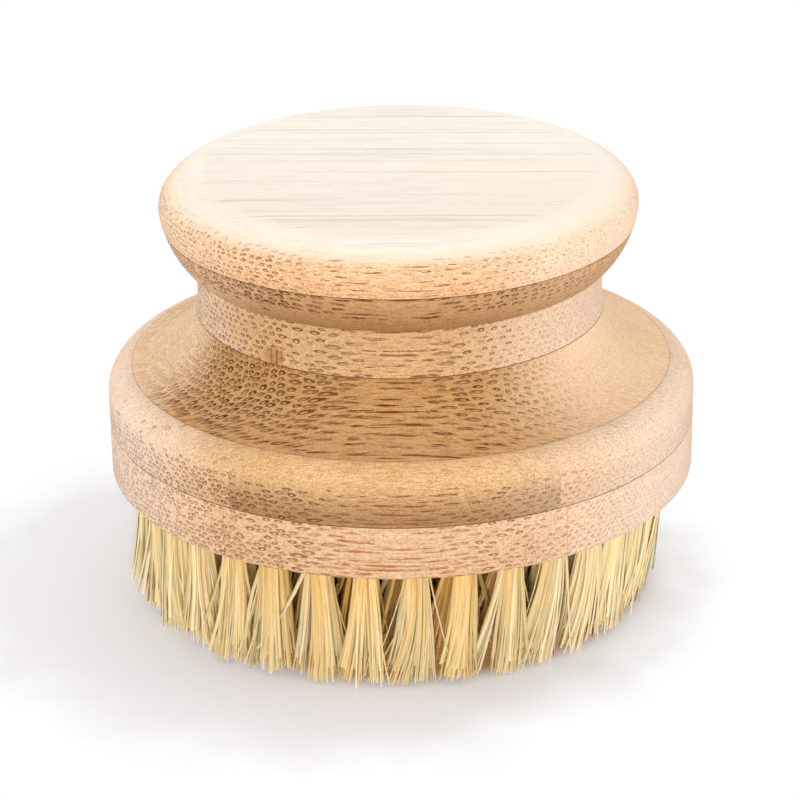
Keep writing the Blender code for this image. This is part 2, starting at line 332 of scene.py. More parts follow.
class Tree:
    """Adds nodes to one material. Its functions take and give sockets or plain numbers."""

    def __init__(self, name):
        self.material = bpy.data.materials.new(name)
        self.material.use_nodes = True
        self.nodes = self.material.node_tree.nodes
        self.links = self.material.node_tree.links
        self.shader = self.nodes["Principled BSDF"]

    def feed(self, socket, value):
        if isinstance(value, bpy.types.NodeSocket):
            self.links.new(value, socket)
        elif isinstance(value, (tuple, list, Vector)) and socket.type == "RGBA":
            socket.default_value = (*value[:3], 1.0)
        else:
            socket.default_value = value

    def add(self, kind, values=(), **settings):
        node = self.nodes.new(kind)
        for name, setting in settings.items():
            setattr(node, name, setting)
        for name, value in dict(values).items():
            self.feed(node.inputs[name], value)
        return node

    def math(self, operation, first, second=0.0, third=0.0, clamp=False):
        node = self.add("ShaderNodeMath", operation=operation, use_clamp=clamp)
        for socket, value in zip(node.inputs, (first, second, third)):
            self.feed(socket, value)
        return node.outputs[0]

    def vector(self, operation, first, second=(0, 0, 0), scale=1.0):
        node = self.add("ShaderNodeVectorMath", operation=operation)
        self.feed(node.inputs[0], first)
        self.feed(node.inputs[1], second)
        if operation == "SCALE":
            self.feed(node.inputs["Scale"], scale)
        return node.outputs["Value" if operation in ("LENGTH", "DOT_PRODUCT") else "Vector"]

    def step(self, value, start, end, low=0.0, high=1.0):
        """Goes smoothly from low, at start, to high, at end."""
        node = self.add("ShaderNodeMapRange", interpolation_type="SMOOTHSTEP")
        for socket, number in zip(node.inputs, (value, start, end, low, high)):
            self.feed(socket, number)
        return node.outputs[0]

    def mix(self, share, first, second, blend="MIX"):
        node = self.add("ShaderNodeMix", data_type="RGBA", blend_type=blend)
        self.feed(node.inputs[0], share)
        self.feed(node.inputs[6], first)
        self.feed(node.inputs[7], second)
        return node.outputs[2]

    def noise(self, place, scale, detail=2.0, roughness=0.5):
        values = {"Vector": place, "Scale": scale, "Detail": detail, "Roughness": roughness}
        return self.add("ShaderNodeTexNoise", values)

    def split(self, vector):
        return self.add("ShaderNodeSeparateXYZ", {0: vector}).outputs

    def join(self, x, y, z):
        return self.add("ShaderNodeCombineXYZ", {0: x, 1: y, 2: z}).outputs[0]


def srgb(red, green, blue):
    """A colour written in 0 to 255 as a linear one."""
    scaled = [channel / 255 for channel in (red, green, blue)]
    return tuple(
        channel / 12.92 if channel <= 0.04045 else ((channel + 0.055) / 1.055) ** 2.4
        for channel in scaled
    )


@dataclass
class Look:
    """How one ply's bamboo looks."""

    # Ground colours at its bottom and at its top
    grounds: tuple
    # The bundles' colour
    bundle: tuple
    # Share of the bundles that show at bottom and top, and between which parts of the height that
    # changes
    shares: tuple
    turn: tuple
    # How dark the bundles are, how far apart in millimetres, and how large
    strength: float
    pitch: float
    size: float
    # How far bare patches come between them
    bare: float
    # Brightness of each strip at its bottom and at its top, front strip first
    tones: tuple
    # How far painted glare, standing in for light from the sides, pales it right, left and behind
    glare_share: tuple
    # Where that starts at the right and at the left: the sine of the angle round the axis
    glare_from: tuple
    # The colour that the painted glare pales it to
    glare_colour: tuple = srgb(246, 226, 208)
    # How much of its bundles the painted glare hides at the left
    left_hides: float = 0.5
    # Where bundles turn from streaks to rings: how far the surface faces along them
    end_grain: tuple = (0.07, 0.30)


LOOKS = {
    "base_lower": Look(
        grounds=(srgb(219, 178, 136), srgb(222, 182, 140)),
        bundle=srgb(126, 72, 32),
        shares=(1.00, 0.75),
        turn=(0.30, 0.75),
        strength=0.82,
        pitch=0.83,
        size=0.96,
        bare=0.14,
        tones=((0.96, 0.98), (0.99, 1.01), (0.98, 0.98), (1.02, 1.02), (1.0, 1.0)),
        glare_share=(0.50, 0.52, 0.34),
        glare_from=(0.30, -0.50),
        end_grain=(0.09, 0.34),
    ),
    "base_upper": Look(
        grounds=(srgb(176, 134, 91), srgb(226, 183, 131)),
        bundle=srgb(102, 53, 13),
        shares=(1.00, 0.08),
        turn=(0.34, 0.74),
        strength=0.86,
        pitch=0.85,
        size=0.92,
        bare=0.12,
        tones=((0.865, 1.03), (1.29, 0.945), (1.02, 0.99), (1.04, 1.04), (1.04, 1.04)),
        glare_share=(0.52, 0.58, 0.38),
        glare_from=(0.26, -0.46),
    ),
    "cove": Look(
        grounds=(srgb(209, 162, 110), srgb(191, 145, 92)),
        bundle=srgb(84, 40, 6),
        shares=(0.93, 1.00),
        turn=(0.10, 0.50),
        strength=0.94,
        pitch=0.89,
        size=1.04,
        bare=0.05,
        tones=((0.98, 0.99), (1.09, 1.11), (1.0, 1.0)),
        glare_share=(0.78, 0.74, 0.62),
        glare_from=(0.36, -0.78),
        glare_colour=srgb(248, 217, 181),
        left_hides=1.05,
    ),
    "neck": Look(
        grounds=(srgb(211, 169, 121), srgb(207, 166, 118)),
        bundle=srgb(96, 50, 14),
        shares=(0.95, 1.00),
        turn=(0.50, 1.00),
        strength=0.88,
        pitch=1.02,
        size=0.96,
        bare=0.32,
        tones=((0.985, 0.985), (0.97, 0.97), (1.02, 1.02)),
        glare_share=(0.46, 0.36, 0.34),
        glare_from=(0.25, -0.64),
    ),
    "knob_lower": Look(
        grounds=(srgb(170, 127, 84), srgb(193, 149, 102)),
        bundle=srgb(72, 35, 8),
        shares=(0.06, 1.00),
        turn=(0.42, 0.60),
        strength=0.95,
        pitch=0.92,
        size=1.1,
        bare=0.05,
        tones=((0.99, 0.99), (1.0, 1.0), (1.02, 1.02)),
        glare_share=(0.22, 0.50, 0.22),
        glare_from=(0.20, -0.42),
        glare_colour=srgb(238, 204, 168),
        end_grain=(0.12, 0.40),
    ),
    "knob_top": Look(
        grounds=(srgb(228, 181, 132), srgb(244, 202, 160)),
        bundle=srgb(108, 58, 18),
        shares=(0.95, 0.85),
        turn=(0.10, 0.70),
        strength=0.88,
        pitch=0.80,
        size=0.68,
        bare=0.25,
        tones=((0.965, 0.975), (1.0, 1.0), (0.98, 0.98), (1.0, 1.0)),
        glare_share=(0.50, 0.36, 0.36),
        glare_from=(0.20, -0.50),
        glare_colour=srgb(250, 230, 206),
        end_grain=(0.14, 0.50),
    ),
}

# Painted glare behind comes in between these places along Y, in millimetres
BACK_GLARE = (-12.0, 16.0)
# How much of its bundles the painted glare hides at the right
RIGHT_HIDES = 1.5
# How much of the finer marks a place under painted glare keeps
KEPT_MARKS = 0.55

# Noises in the ground: shrink along the grain, scale per millimetre, detail and roughness
NOISES = {
    "slow": (1.0, 0.09, 2.0, 0.5),
    "bands": (0.05, 0.7, 1.0, 0.5),
    "fibres": (0.05, 2.6, 3.0, 0.65),
    "grain": (0.20, 3.4, 1.0, 0.7),
    "specks": (0.07, 5.6, 1.0, 0.6),
    "flecks": (0.16, 1.9, 2.0, 0.6),
    "dust": (0.45, 6.5, 1.0, 0.8),
}
# What each tone multiplies the ground by
TONES = {
    "deeper": (0.86, 0.79, 0.70),
    "brown": (0.66, 0.54, 0.42),
    "lighter": (1.10, 1.17, 1.30),
}
# Marks laid on the ground in turn: the noise, where it starts and is full, its share and its tone
MARKS = (
    ("slow", 0.36, 0.66, 0.75, "deeper"),
    ("bands", 0.52, 0.70, 0.60, "lighter"),
    ("fibres", 0.50, 0.72, 0.70, "brown"),
    ("grain", 0.52, 0.66, 0.55, "brown"),
    ("grain", 0.47, 0.34, 0.70, "lighter"),
    ("specks", 0.53, 0.66, 0.55, "brown"),
    ("specks", 0.46, 0.34, 0.60, "lighter"),
    ("flecks", 0.56, 0.64, 0.55, "lighter"),
    ("dust", 0.52, 0.66, 0.70, "brown"),
    ("dust", 0.48, 0.35, 0.75, "lighter"),
)

# Distance of the bundles' rows, and how unevenly they stand, in parts of the pitch
BUNDLE_ROW = 0.86
BUNDLE_JITTER = 0.27
# Half width and half height of a bundle of size 1, in millimetres
BUNDLE_WIDTH = 0.34
BUNDLE_HEIGHT = 0.33
# Bundles shrink to this at the right, between these places along X, in millimetres
SMALL = 0.68
SMALL_FROM = (4.0, 20.0)
# How much bundles differ from each other in size and in darkness, and their outline from an oval
SIZE_SPREAD = (0.76, 1.04)
SHADE_SPREAD = (0.74, 1.0)
RAGGED_SPREAD = (0.86, 1.14)
# Bends in the bundles' run: noise scale and detail, and the millimetres that it moves them
BENDS = ((0.16, 1.0, 1.8, 1.3), (0.55, 0.0, 0.5, 0.5))
# What the bundles' colour is multiplied by in streaks, and the share of their pale cores and of the
# painted highlights under them
STREAK_WARMER = (1.7, 1.3, 0.5)
PALE_CORE_AND_HIGHLIGHT = 0.55

# The knob's flat face, its own pale sanded wood with a painted sheen: its colours in front and at
# the back, darker in front and lighter behind as painted light, at its edge, tanner as painted
# shade, and of its thin lines
PALE_TOP = (srgb(250, 237, 224), srgb(255, 250, 240))
PALE_TOP_FROM = (-28.0, 18.0)
TOP_EDGE = srgb(246, 226, 203)
TOP_LINE = srgb(206, 184, 166)
TOP_LINE_SHARE = 0.68
# How far it covers the ground, and how far it hides the bundles
TOP_COVERS = 0.96
TOP_HIDES = 0.88

# Glue lines: half widths in millimetres, and shares. Joints between strips show least on flats.
SEAM_LINE = 0.11
JOINT_LINE = 0.07
SEAM_SHARE = 0.85
JOINT_SHARES = (0.08, 0.78)
SEAM_COLOUR = srgb(82, 44, 14)

# The scar on the neck, in millimetres: its place, and its cracks' places and shares
SCAR_PLACE = (-17.7, -25.2, LEVELS[PLY_NAMES.index("neck")] / MM + 1.2)
SCAR_COLOUR = srgb(176, 124, 84)
CRACKS = ((-0.40, 0.45), (0.45, 0.75), (1.15, 0.55))
CRACK_COLOUR = srgb(104, 62, 34)


def wander(tree, place):
    """Place along Y and Z after slow bends, so that the bundles don't run quite straight."""
    x, across, up = tree.split(place)
    far = tree.join(tree.math("MULTIPLY", x, 0.25), across, up)
    for scale, detail, wide, tall in BENDS:
        noise = tree.noise(far, scale, detail).outputs["Color"]
        bend_y, bend_z, _ = tree.split(tree.vector("SUBTRACT", noise, (0.5, 0.5, 0.5)))
        across = tree.math("MULTIPLY_ADD", bend_y, wide, across)
        up = tree.math("MULTIPLY_ADD", bend_z, tall, up)
    return across, up


def nearest_bundle(tree, place, pitch):
    """How far the nearest bundle's middle is, across and up, and three random numbers of its own.

    The bundles stand in staggered rows: a square lattice of cells, sheared.
    """
    across, up = wander(tree, place)
    row = tree.math("DIVIDE", up, BUNDLE_ROW * pitch)
    column = tree.math("MULTIPLY_ADD", row, -0.5, tree.math("DIVIDE", across, pitch))
    lattice = tree.join(column, row, 0.0)
    cells = tree.add(
        "ShaderNodeTexVoronoi",
        {"Vector": lattice, "Scale": 1.0, "Randomness": BUNDLE_JITTER},
        voronoi_dimensions="2D",
    )
    away = tree.vector("SUBTRACT", lattice, cells.outputs["Position"])
    column_away, row_away, _ = tree.split(away)
    across_away = tree.math("MULTIPLY_ADD", row_away, 0.5, column_away)
    across_away = tree.math("MULTIPLY", across_away, pitch)
    up_away = tree.math("MULTIPLY", row_away, BUNDLE_ROW * pitch)
    return across_away, up_away, tree.split(cells.outputs["Color"])


def distance(tree, wide, tall, wider=1.0, taller=1.0, raised=0.0):
    """Distance from a bundle's middle in parts of its size, stretched or raised."""
    wide = tree.math("MULTIPLY", wide, wider)
    tall = tree.math("MULTIPLY_ADD", tall, taller, raised)
    return tree.vector("LENGTH", tree.join(wide, tall, 0.0))


def bundles(tree, place, present, pitch, end_grain, scale):
    """How dark and how pale the surface is where it cuts the bundles, which run along X.

    Cut across, a bundle is a dark ring round a pale core, darker at its top as painted shade, over a
    painted highlight. Cut along, it is a row of dark streaks over painted highlights.
    """
    across_away, up_away, (chance, grade, shade) = nearest_bundle(tree, place, pitch)
    size = tree.math("MULTIPLY", tree.step(grade, 0.0, 1.0, *SIZE_SPREAD), scale)
    ragged = tree.noise(tree.vector("MULTIPLY", place, (0.15, 1.0, 1.0)), 4.0, 1.0).outputs[0]
    size = tree.math("MULTIPLY", size, tree.step(ragged, 0.3, 0.7, *RAGGED_SPREAD))
    wide = tree.math("DIVIDE", across_away, tree.math("MULTIPLY", size, BUNDLE_WIDTH))
    tall = tree.math("DIVIDE", up_away, tree.math("MULTIPLY", size, BUNDLE_HEIGHT))

    there = tree.step(tree.math("SUBTRACT", present, chance), -0.02, 0.06)
    there = tree.math("MULTIPLY", there, tree.step(shade, 0.1, 0.9, *SHADE_SPREAD))
    sheath = tree.step(distance(tree, wide, tall), 1.12, 0.92)
    sheath = tree.math("MULTIPLY", sheath, there)
    # The core sits a little low and the ring darkens towards its top: painted shade in each pit
    pale = tree.step(distance(tree, wide, tall, wider=1.05, raised=0.10), 0.54, 0.18)
    pale = tree.math("MULTIPLY", pale, there)
    ring = tree.math("MULTIPLY", sheath, tree.math("MULTIPLY_ADD", pale, -1.0, 1.0))
    ring = tree.math("MULTIPLY", ring, tree.step(tall, -0.9, 0.3, 0.76, 1.0))
    # A painted highlight on the lower lip under each bundle
    lip_highlight = tree.step(distance(tree, wide, tall, raised=0.55), 1.35, 0.95)
    lip_highlight = tree.math("MULTIPLY", lip_highlight, tree.math("SUBTRACT", 1.0, sheath))
    lip_highlight = tree.math("MULTIPLY", lip_highlight, there)

    x, y, z = tree.split(place)
    far = tree.join(tree.math("MULTIPLY", x, 0.034), y, z)
    vessels = tree.noise(far, 4.2, 2.0, 0.6).outputs[0]
    streak = tree.step(distance(tree, wide, tall, wider=0.9, taller=1.45), 1.02, 0.66)
    streak = tree.math("MULTIPLY", streak, tree.step(there, 0.0, 0.8))
    streak = tree.math("MULTIPLY", streak, tree.step(vessels, 0.43, 0.50))
    along = tree.math("SUBTRACT", 1.0, end_grain)
    dark = tree.math("MULTIPLY_ADD", streak, along, tree.math("MULTIPLY", ring, end_grain))
    pale = tree.math("MULTIPLY", pale, tree.math("MULTIPLY_ADD", end_grain, 0.8, 0.2))
    return dark, tree.math("MAXIMUM", pale, lip_highlight)


def line(tree, coordinate, place, width, slope):
    """1 on a line at one place along an axis, as wide on any slope of the surface."""
    away = tree.math("ABSOLUTE", tree.math("SUBTRACT", coordinate, place))
    edge = tree.math("MULTIPLY", slope, width)
    return tree.step(away, edge, tree.math("MULTIPLY", edge, 0.35))


def slope_across(tree, part):
    """How fast a coordinate changes along the surface, from the normal's part along that axis."""
    rest = tree.math("SUBTRACT", 1.0, tree.math("MULTIPLY", part, part))
    return tree.math("SQRT", tree.math("MAXIMUM", rest, 0.0004))


def scar(tree, colour, place):
    """A small scar on the neck, at its left front, with upright cracks."""
    away = tree.vector("SUBTRACT", place, SCAR_PLACE)
    x, _, _ = tree.split(away)
    reach = tree.vector("LENGTH", tree.vector("MULTIPLY", away, (0.46, 0.46, 0.66)))
    patch = tree.step(reach, 1.15, 0.55)
    colour = tree.mix(tree.math("MULTIPLY", patch, 0.75), colour, SCAR_COLOUR)
    for crack_place, share in CRACKS:
        crack_away = tree.math("ABSOLUTE", tree.math("SUBTRACT", x, crack_place))
        crack = tree.math("MULTIPLY", tree.step(crack_away, 0.18, 0.06), patch)
        colour = tree.mix(tree.math("MULTIPLY", crack, share), colour, CRACK_COLOUR)
    return colour


def top_lines(tree, place):
    """Thin straight lines along the grain of the top face, each fading in and out."""
    x, y, _ = tree.split(place)
    across = tree.join(tree.math("MULTIPLY", x, 0.0012), y, 0.0)
    slow = tree.noise(across, 0.42, 2.0, 0.6).outputs[0]
    away = tree.math("ABSOLUTE", tree.math("SUBTRACT", slow, 0.5))
    along = tree.join(tree.math("MULTIPLY", x, 0.03), y, 7.0)
    length = tree.step(tree.noise(along, 0.9, 1.0).outputs[0], 0.45, 0.68, 0.0, TOP_LINE_SHARE)
    return tree.math("MULTIPLY", tree.step(away, 0.024, 0.003), length)


def side_glare(tree, look, x, y):
    """How far painted glare pales the wood, and how far that hides its bundles: least in front."""
    toward = tree.math("DIVIDE", x, tree.vector("LENGTH", tree.join(x, y, 0.0)))
    right_share, left_share, back_share = look.glare_share
    right_start, left_start = look.glare_from
    right = tree.step(toward, right_start, 0.95, 0.0, right_share)
    left = tree.step(toward, left_start, -1.0, 0.0, left_share)
    left = tree.math("MAXIMUM", left, tree.step(y, *BACK_GLARE, 0.0, back_share))
    right_hidden = tree.math("MULTIPLY", right, RIGHT_HIDES)
    left_hidden = tree.math("MULTIPLY", left, look.left_hides)
    return tree.math("MAXIMUM", right, left), tree.math("MAXIMUM", right_hidden, left_hidden)


def ground(tree, look, number, height, glare_share):
    """The strip's ground colour, from the ply's bottom to its top, paled by the painted glare."""
    shade = tree.mix(height, *((tone, tone, tone) for tone in look.tones[number]))
    base = tree.mix(1.0, tree.mix(height, *look.grounds), shade, "MULTIPLY")
    return tree.mix(glare_share, base, look.glare_colour)


def marked(tree, own, base):
    """The ground with its marks, the noises that make them, and the ground in each tone."""
    noises = {}
    for name, (shrink, scale, detail, roughness) in NOISES.items():
        far = tree.vector("MULTIPLY", own, (shrink, 1.0, 1.0))
        noises[name] = tree.noise(far, scale, detail, roughness).outputs[0]
    tones = {name: tree.mix(1.0, base, tone, "MULTIPLY") for name, tone in TONES.items()}
    colour = base
    for name, start, full, share, tone in MARKS:
        colour = tree.mix(tree.step(noises[name], start, full, 0.0, share), colour, tones[tone])
    return colour, noises, tones


def flat_face(tree, colour, own, y, normal_z, noises, brown):
    """The knob's pale flat face laid over the colour, and where it lies: its own sanded wood with a
    painted sheen, lighter behind as painted light and tanner at the edge as painted shade.
    """
    uneven = tree.math("SUBTRACT", noises["fibres"], 0.5)
    flat = tree.step(tree.math("MULTIPLY_ADD", uneven, 0.16, normal_z), 0.54, 0.88)
    level = tree.step(normal_z, 0.985, 0.9995)
    # Darker in front and lighter behind: painted light
    pale = tree.mix(tree.step(y, *PALE_TOP_FROM), *PALE_TOP)
    pale = tree.mix(tree.math("MULTIPLY", top_lines(tree, own), level), pale, TOP_LINE)
    # Tanner as the face turns down to the rim: painted shade
    pale = tree.mix(tree.step(normal_z, 0.992, 0.80, 0.0, 0.90), pale, TOP_EDGE)
    pale = tree.mix(tree.step(noises["bands"], 0.40, 0.65, 0.0, 0.04), pale, brown)
    return tree.mix(tree.math("MULTIPLY", flat, TOP_COVERS), colour, pale), flat


def glue_lines(tree, colour, y, z, normal_y, normal_z, seams, joints, fade):
    """Dark hairlines over the colour, where plies and strips meet."""
    steep = slope_across(tree, normal_z)
    for level in seams:
        seam = line(tree, z, level, SEAM_LINE, steep)
        colour = tree.mix(tree.math("MULTIPLY", seam, SEAM_SHARE), colour, SEAM_COLOUR)
    steep = slope_across(tree, normal_y)
    share = tree.math("MULTIPLY", tree.step(normal_z, 0.66, 0.20, *JOINT_SHARES), fade)
    for joint_place in joints:
        joint = line(tree, y, joint_place / MM, JOINT_LINE, steep)
        colour = tree.mix(tree.math("MULTIPLY", joint, share), colour, SEAM_COLOUR)
    return colour


def bamboo(ply, number, joints):
    """One strip's bamboo: its marked ground, the bundles in it, and the glue lines at its edges."""
    look = LOOKS[ply]
    index = PLY_NAMES.index(ply)
    low, high = LEVELS[index] / MM, LEVELS[index + 1] / MM
    tree = Tree(f"bamboo_{ply}_{number + 1}")
    coordinates = tree.add("ShaderNodeTexCoord")
    place = tree.vector("SCALE", coordinates.outputs["Object"], scale=1 / MM)
    own_start = (37.0 * number + 11.0 * index, 23.0 * number, 17.3 * index)
    own = tree.vector("ADD", place, own_start)
    x, y, z = tree.split(place)
    normal_x, normal_y, normal_z = tree.split(coordinates.outputs["Normal"])

    end_grain = tree.step(tree.math("ABSOLUTE", normal_x), *look.end_grain)
    start, end = (low + (high - low) * share for share in look.turn)
    present = tree.step(z, start, end, *look.shares)
    patches = tree.noise(own, 0.28, 1.0).outputs[0]
    present = tree.math("SUBTRACT", present, tree.step(patches, 0.50, 0.62, 0.0, look.bare))
    size = tree.step(x, *SMALL_FROM, look.size, look.size * SMALL)
    dark, pale = bundles(tree, own, present, look.pitch, end_grain, size)

    # Painted glare: paleness standing in for light from the sides and back
    glare_share, hidden = side_glare(tree, look, x, y)
    base = ground(tree, look, number, tree.step(z, low, high), glare_share)
    colour, noises, tones = marked(tree, own, base)
    fade = 1.0
    if ply == "knob_top":
        colour, flat = flat_face(tree, colour, own, y, normal_z, noises, tones["brown"])
        fade = tree.math("MULTIPLY_ADD", flat, -TOP_HIDES, 1.0)
    # The painted glare again, over the finer marks
    colour = tree.mix(tree.math("MULTIPLY", glare_share, 1 - KEPT_MARKS), colour, look.glare_colour)
    fade = tree.math("MULTIPLY", fade, tree.math("SUBTRACT", 1.0, hidden, clamp=True))
    depth = tree.math("MULTIPLY", dark, tree.math("MULTIPLY", fade, look.strength))
    streak_colour = tuple(part * warmer for part, warmer in zip(look.bundle, STREAK_WARMER))
    colour = tree.mix(depth, colour, tree.mix(end_grain, streak_colour, look.bundle))
    # The pale cores, and the painted highlights under the bundles
    pale = tree.math("MULTIPLY", pale, tree.math("MULTIPLY", fade, PALE_CORE_AND_HIGHLIGHT))
    colour = tree.mix(pale, colour, tones["lighter"])
    if ply == "neck":
        colour = scar(tree, colour, place)
    seams = [level for level in (low, high) if LEVELS[0] / MM < level < LEVELS[-1] / MM]
    colour = glue_lines(tree, colour, y, z, normal_y, normal_z, seams, joints, fade)

    tree.feed(tree.shader.inputs["Base Color"], colour)
    tree.feed(tree.shader.inputs["Roughness"], tree.step(noises["fibres"], 0.3, 0.7, 0.48, 0.62))
    relief = tree.math("MULTIPLY_ADD", dark, -1.0, tree.math("MULTIPLY", noises["grain"], 0.30))
    relief = tree.math("MULTIPLY_ADD", noises["fibres"], -0.30, relief)
    bump = tree.add("ShaderNodeBump", {"Height": relief, "Strength": 0.6, "Distance": 0.06 * MM})
    tree.feed(tree.shader.inputs["Normal"], bump.outputs[0])
    tree.shader.inputs["Specular IOR Level"].default_value = 0.02
    return tree.material


# Fibres

# How far fibres reach up into their hole, and the points and corners that each is made of
FIBRE_TOP = 2.5 * MM
FIBRE_STEPS = 5
FIBRE_POINTS = FIBRE_STEPS + 2
FIBRE_SIDES = 3

# Fibres in a tuft of the rings that show, and of the rings behind them
SEEN_RINGS = 2
OUTER_FIBRES = 144
INNER_FIBRES = 90
FIRST_SEED = 100

# Locks: how many, how far each moves out from the tuft's middle, how far its fibres part, and the
# chance in its place and in its length
LOCKS = 9
LOCK_SPLAY = 2.28
LOCK_SPREAD = 1.90
LOCK_DRIFT = 0.50 * MM
LOCK_SHORT = 0.50 * MM
TUFT_SHORT = 0.20 * MM
PACKED_RADIUS = 1.62 * MM
ROOT_PACKED = 0.97
RADIAL_SPLAY = 0.62

# Single fibres: the chance in their tips, the share that strays and how far, and how short some are
TIP_SCATTER = 0.30 * MM
STRAY_SHARE = 0.19
STRAY_REACH = 1.8 * MM
FIBRE_SHORT = 0.35 * MM
MOST_SHORT = 4 * MM
THICK_SHARE = 0.22
THICK_WIDTH = 2.1
THICK_SHORT = 2.2 * MM
LOCK_BOW = 0.30 * MM
FIBRE_BOW = 0.17 * MM
OUTWARD_BEND = 1.8

# Lean of whole tufts: by chance, inwards for the outermost, to the left, and more at the right
TUFT_LEAN = 0.35 * MM
LEAN_IN = 0.90 * MM
LEAN_LEFT = 0.9 * MM
RIGHT_LEAN = 1.3 * MM
INSIDE_RIM = 0.2 * MM

# Half widths of a fibre, and how flat it is
ROOT_WIDTH = 0.16 * MM
TIP_WIDTH = 0.125 * MM
TAPER = 1.5
FLATNESS = 0.75
WIDTH_SPREAD = (0.8, 1.25)

# Shares of the fibre's own side and of the way out from the axis in its shading, next to 1 for the
# way out from the tuft's middle, and the part of the tuft's mean that is taken off that
SOFT_OWN = 0.9
SOFT_OUTWARDS = 0.7
SOFT_MEAN = 0.9

# Colours: tones with their shares, and the chance in their level
FIBRE_TONES = (
    (srgb(236, 208, 149), 0.42),
    (srgb(231, 196, 131), 0.27),
    (srgb(246, 229, 190), 0.18),
    (srgb(228, 186, 116), 0.07),
    (srgb(228, 214, 136), 0.04),
    (srgb(214, 158, 90), 0.02),
)
LOCK_LEVEL = 0.05
FIBRE_LEVEL = (0.90, 1.05)
STREAK_FIBRE = srgb(222, 180, 104)
# Painted glare that pales the fibres at the left and right
FIBRE_GLARE = srgb(255, 236, 184)
# What the colour is multiplied by near the roots, and well inside the brush: painted warm shade
PAINTED_ROOT_SHADE = (1.0, 0.88, 0.66)
PAINTED_INNER_SHADE = (1.17, 0.94, 0.58)


def fibre_paths(rng, centre, angle, lean, count):
    """Points down each fibre of one tuft, from inside its hole to its tip, its width and its lock.

    A tuft's fibres part into locks. Each lock leans and ends in its own way. A tuft spreads less
    along the radius than across it.
    """
    turn = rng.uniform(0, 2 * math.pi, count + LOCKS)
    reach = np.sqrt(rng.uniform(0, 1, count + LOCKS)) * PACKED_RADIUS
    disc = np.stack([np.cos(turn), np.sin(turn)], 1) * reach[:, None]
    at, middles = disc[:count], disc[count:]
    lock = np.argmin(np.linalg.norm(at[:, None] - middles[None], axis=2), axis=1)
    drift = rng.normal(0, LOCK_DRIFT, (LOCKS, 2))
    ends = np.abs(rng.normal(0, LOCK_SHORT, LOCKS)) + abs(rng.normal(0, TUFT_SHORT))
    tip = (middles * LOCK_SPLAY + drift)[lock] + (at - middles[lock]) * LOCK_SPREAD
    tip += rng.normal(0, TIP_SCATTER, (count, 2))
    stray = rng.uniform(size=count) < STRAY_SHARE
    tip += stray[:, None] * rng.normal(0, STRAY_REACH, (count, 2))
    outwards = np.array([math.cos(angle), math.sin(angle)])
    tip -= np.outer(tip @ outwards, outwards) * (1 - RADIAL_SPLAY)
    tip += lean
    thick = rng.uniform(size=count) < THICK_SHARE
    floor = np.minimum(ends[lock] + np.abs(rng.normal(0, FIBRE_SHORT, count)), MOST_SHORT)
    floor += thick * THICK_SHORT
    bow = rng.normal(0, LOCK_BOW, (LOCKS, 2))[lock] + rng.normal(0, FIBRE_BOW, (count, 2))

    share = np.linspace(0, 1, FIBRE_STEPS + 1)[None, :, None]
    flat = at[:, None] + (tip - at)[:, None] * (0.5 * share + 0.5 * share**OUTWARD_BEND)
    flat = centre + flat + bow[:, None] * np.sin(math.pi * share)
    height = UNDERSIDE - share * (UNDERSIDE - floor)[:, None, None]
    below = np.concatenate([flat, height], 2)
    root_height = np.full((count, 1), UNDERSIDE + FIBRE_TOP)
    root = np.concatenate([centre + at * ROOT_PACKED, root_height], 1)
    return np.concatenate([root[:, None], below], 1), np.where(thick, THICK_WIDTH, 1.0), lock


def fibre_points(rng, paths, wider):
    """Corners round each point of each path: flattened, tapered, turned at random."""
    count = len(paths)
    share = np.clip((np.arange(FIBRE_POINTS) - 1) / FIBRE_STEPS, 0, 1)
    width = ROOT_WIDTH + (TIP_WIDTH - ROOT_WIDTH) * share**TAPER
    width = width[None, :, None] * (wider * rng.uniform(*WIDTH_SPREAD, count))[:, None, None]
    round_it = 2 * math.pi * np.arange(FIBRE_SIDES) / FIBRE_SIDES
    wide = width * np.cos(round_it)
    thin = FLATNESS * width * np.sin(round_it)
    turn = rng.uniform(0, 2 * math.pi, count)[:, None, None]
    corners = np.repeat(paths[:, :, None, :], FIBRE_SIDES, axis=2)
    corners[..., 0] += wide * np.cos(turn) - thin * np.sin(turn)
    corners[..., 1] += wide * np.sin(turn) + thin * np.cos(turn)
    return corners


def soft_normals(paths, corners, centre):
    """Normals that turn away from the tuft's middle as well as from each fibre's own."""
    own = corners - paths[:, :, None, :]
    own /= np.maximum(np.linalg.norm(own, axis=-1, keepdims=True), 1e-9)
    middle = np.concatenate([centre, [0.0]]) * (1, 1, 0)
    spread = (paths - middle) * (1, 1, 0)
    spread -= spread.mean(axis=0, keepdims=True) * SOFT_MEAN
    spread /= np.maximum(np.linalg.norm(spread, axis=-1, keepdims=True), PACKED_RADIUS)
    outwards = middle / max(np.linalg.norm(middle), MM)
    normals = SOFT_OWN * own + spread[:, :, None, :] + SOFT_OUTWARDS * outwards
    return normals / np.maximum(np.linalg.norm(normals, axis=-1, keepdims=True), 1e-9)


def fibre_faces(count):
    """Faces of all fibres: quads down their sides, and a cap at each end."""
    sides = []
    for low in range(0, (FIBRE_POINTS - 1) * FIBRE_SIDES, FIBRE_SIDES):
        high = low + FIBRE_SIDES
        for side in range(FIBRE_SIDES):
            after = (side + 1) % FIBRE_SIDES
            sides.append((low + side, high + side, high + after, low + after))
    last = (FIBRE_POINTS - 1) * FIBRE_SIDES
    caps = [tuple(range(FIBRE_SIDES)), tuple(last + side for side in reversed(range(FIBRE_SIDES)))]
    step = FIBRE_POINTS * FIBRE_SIDES
    return [
        tuple(corner + fibre * step for corner in face)
        for fibre in range(count)
        for face in sides + caps
    ]


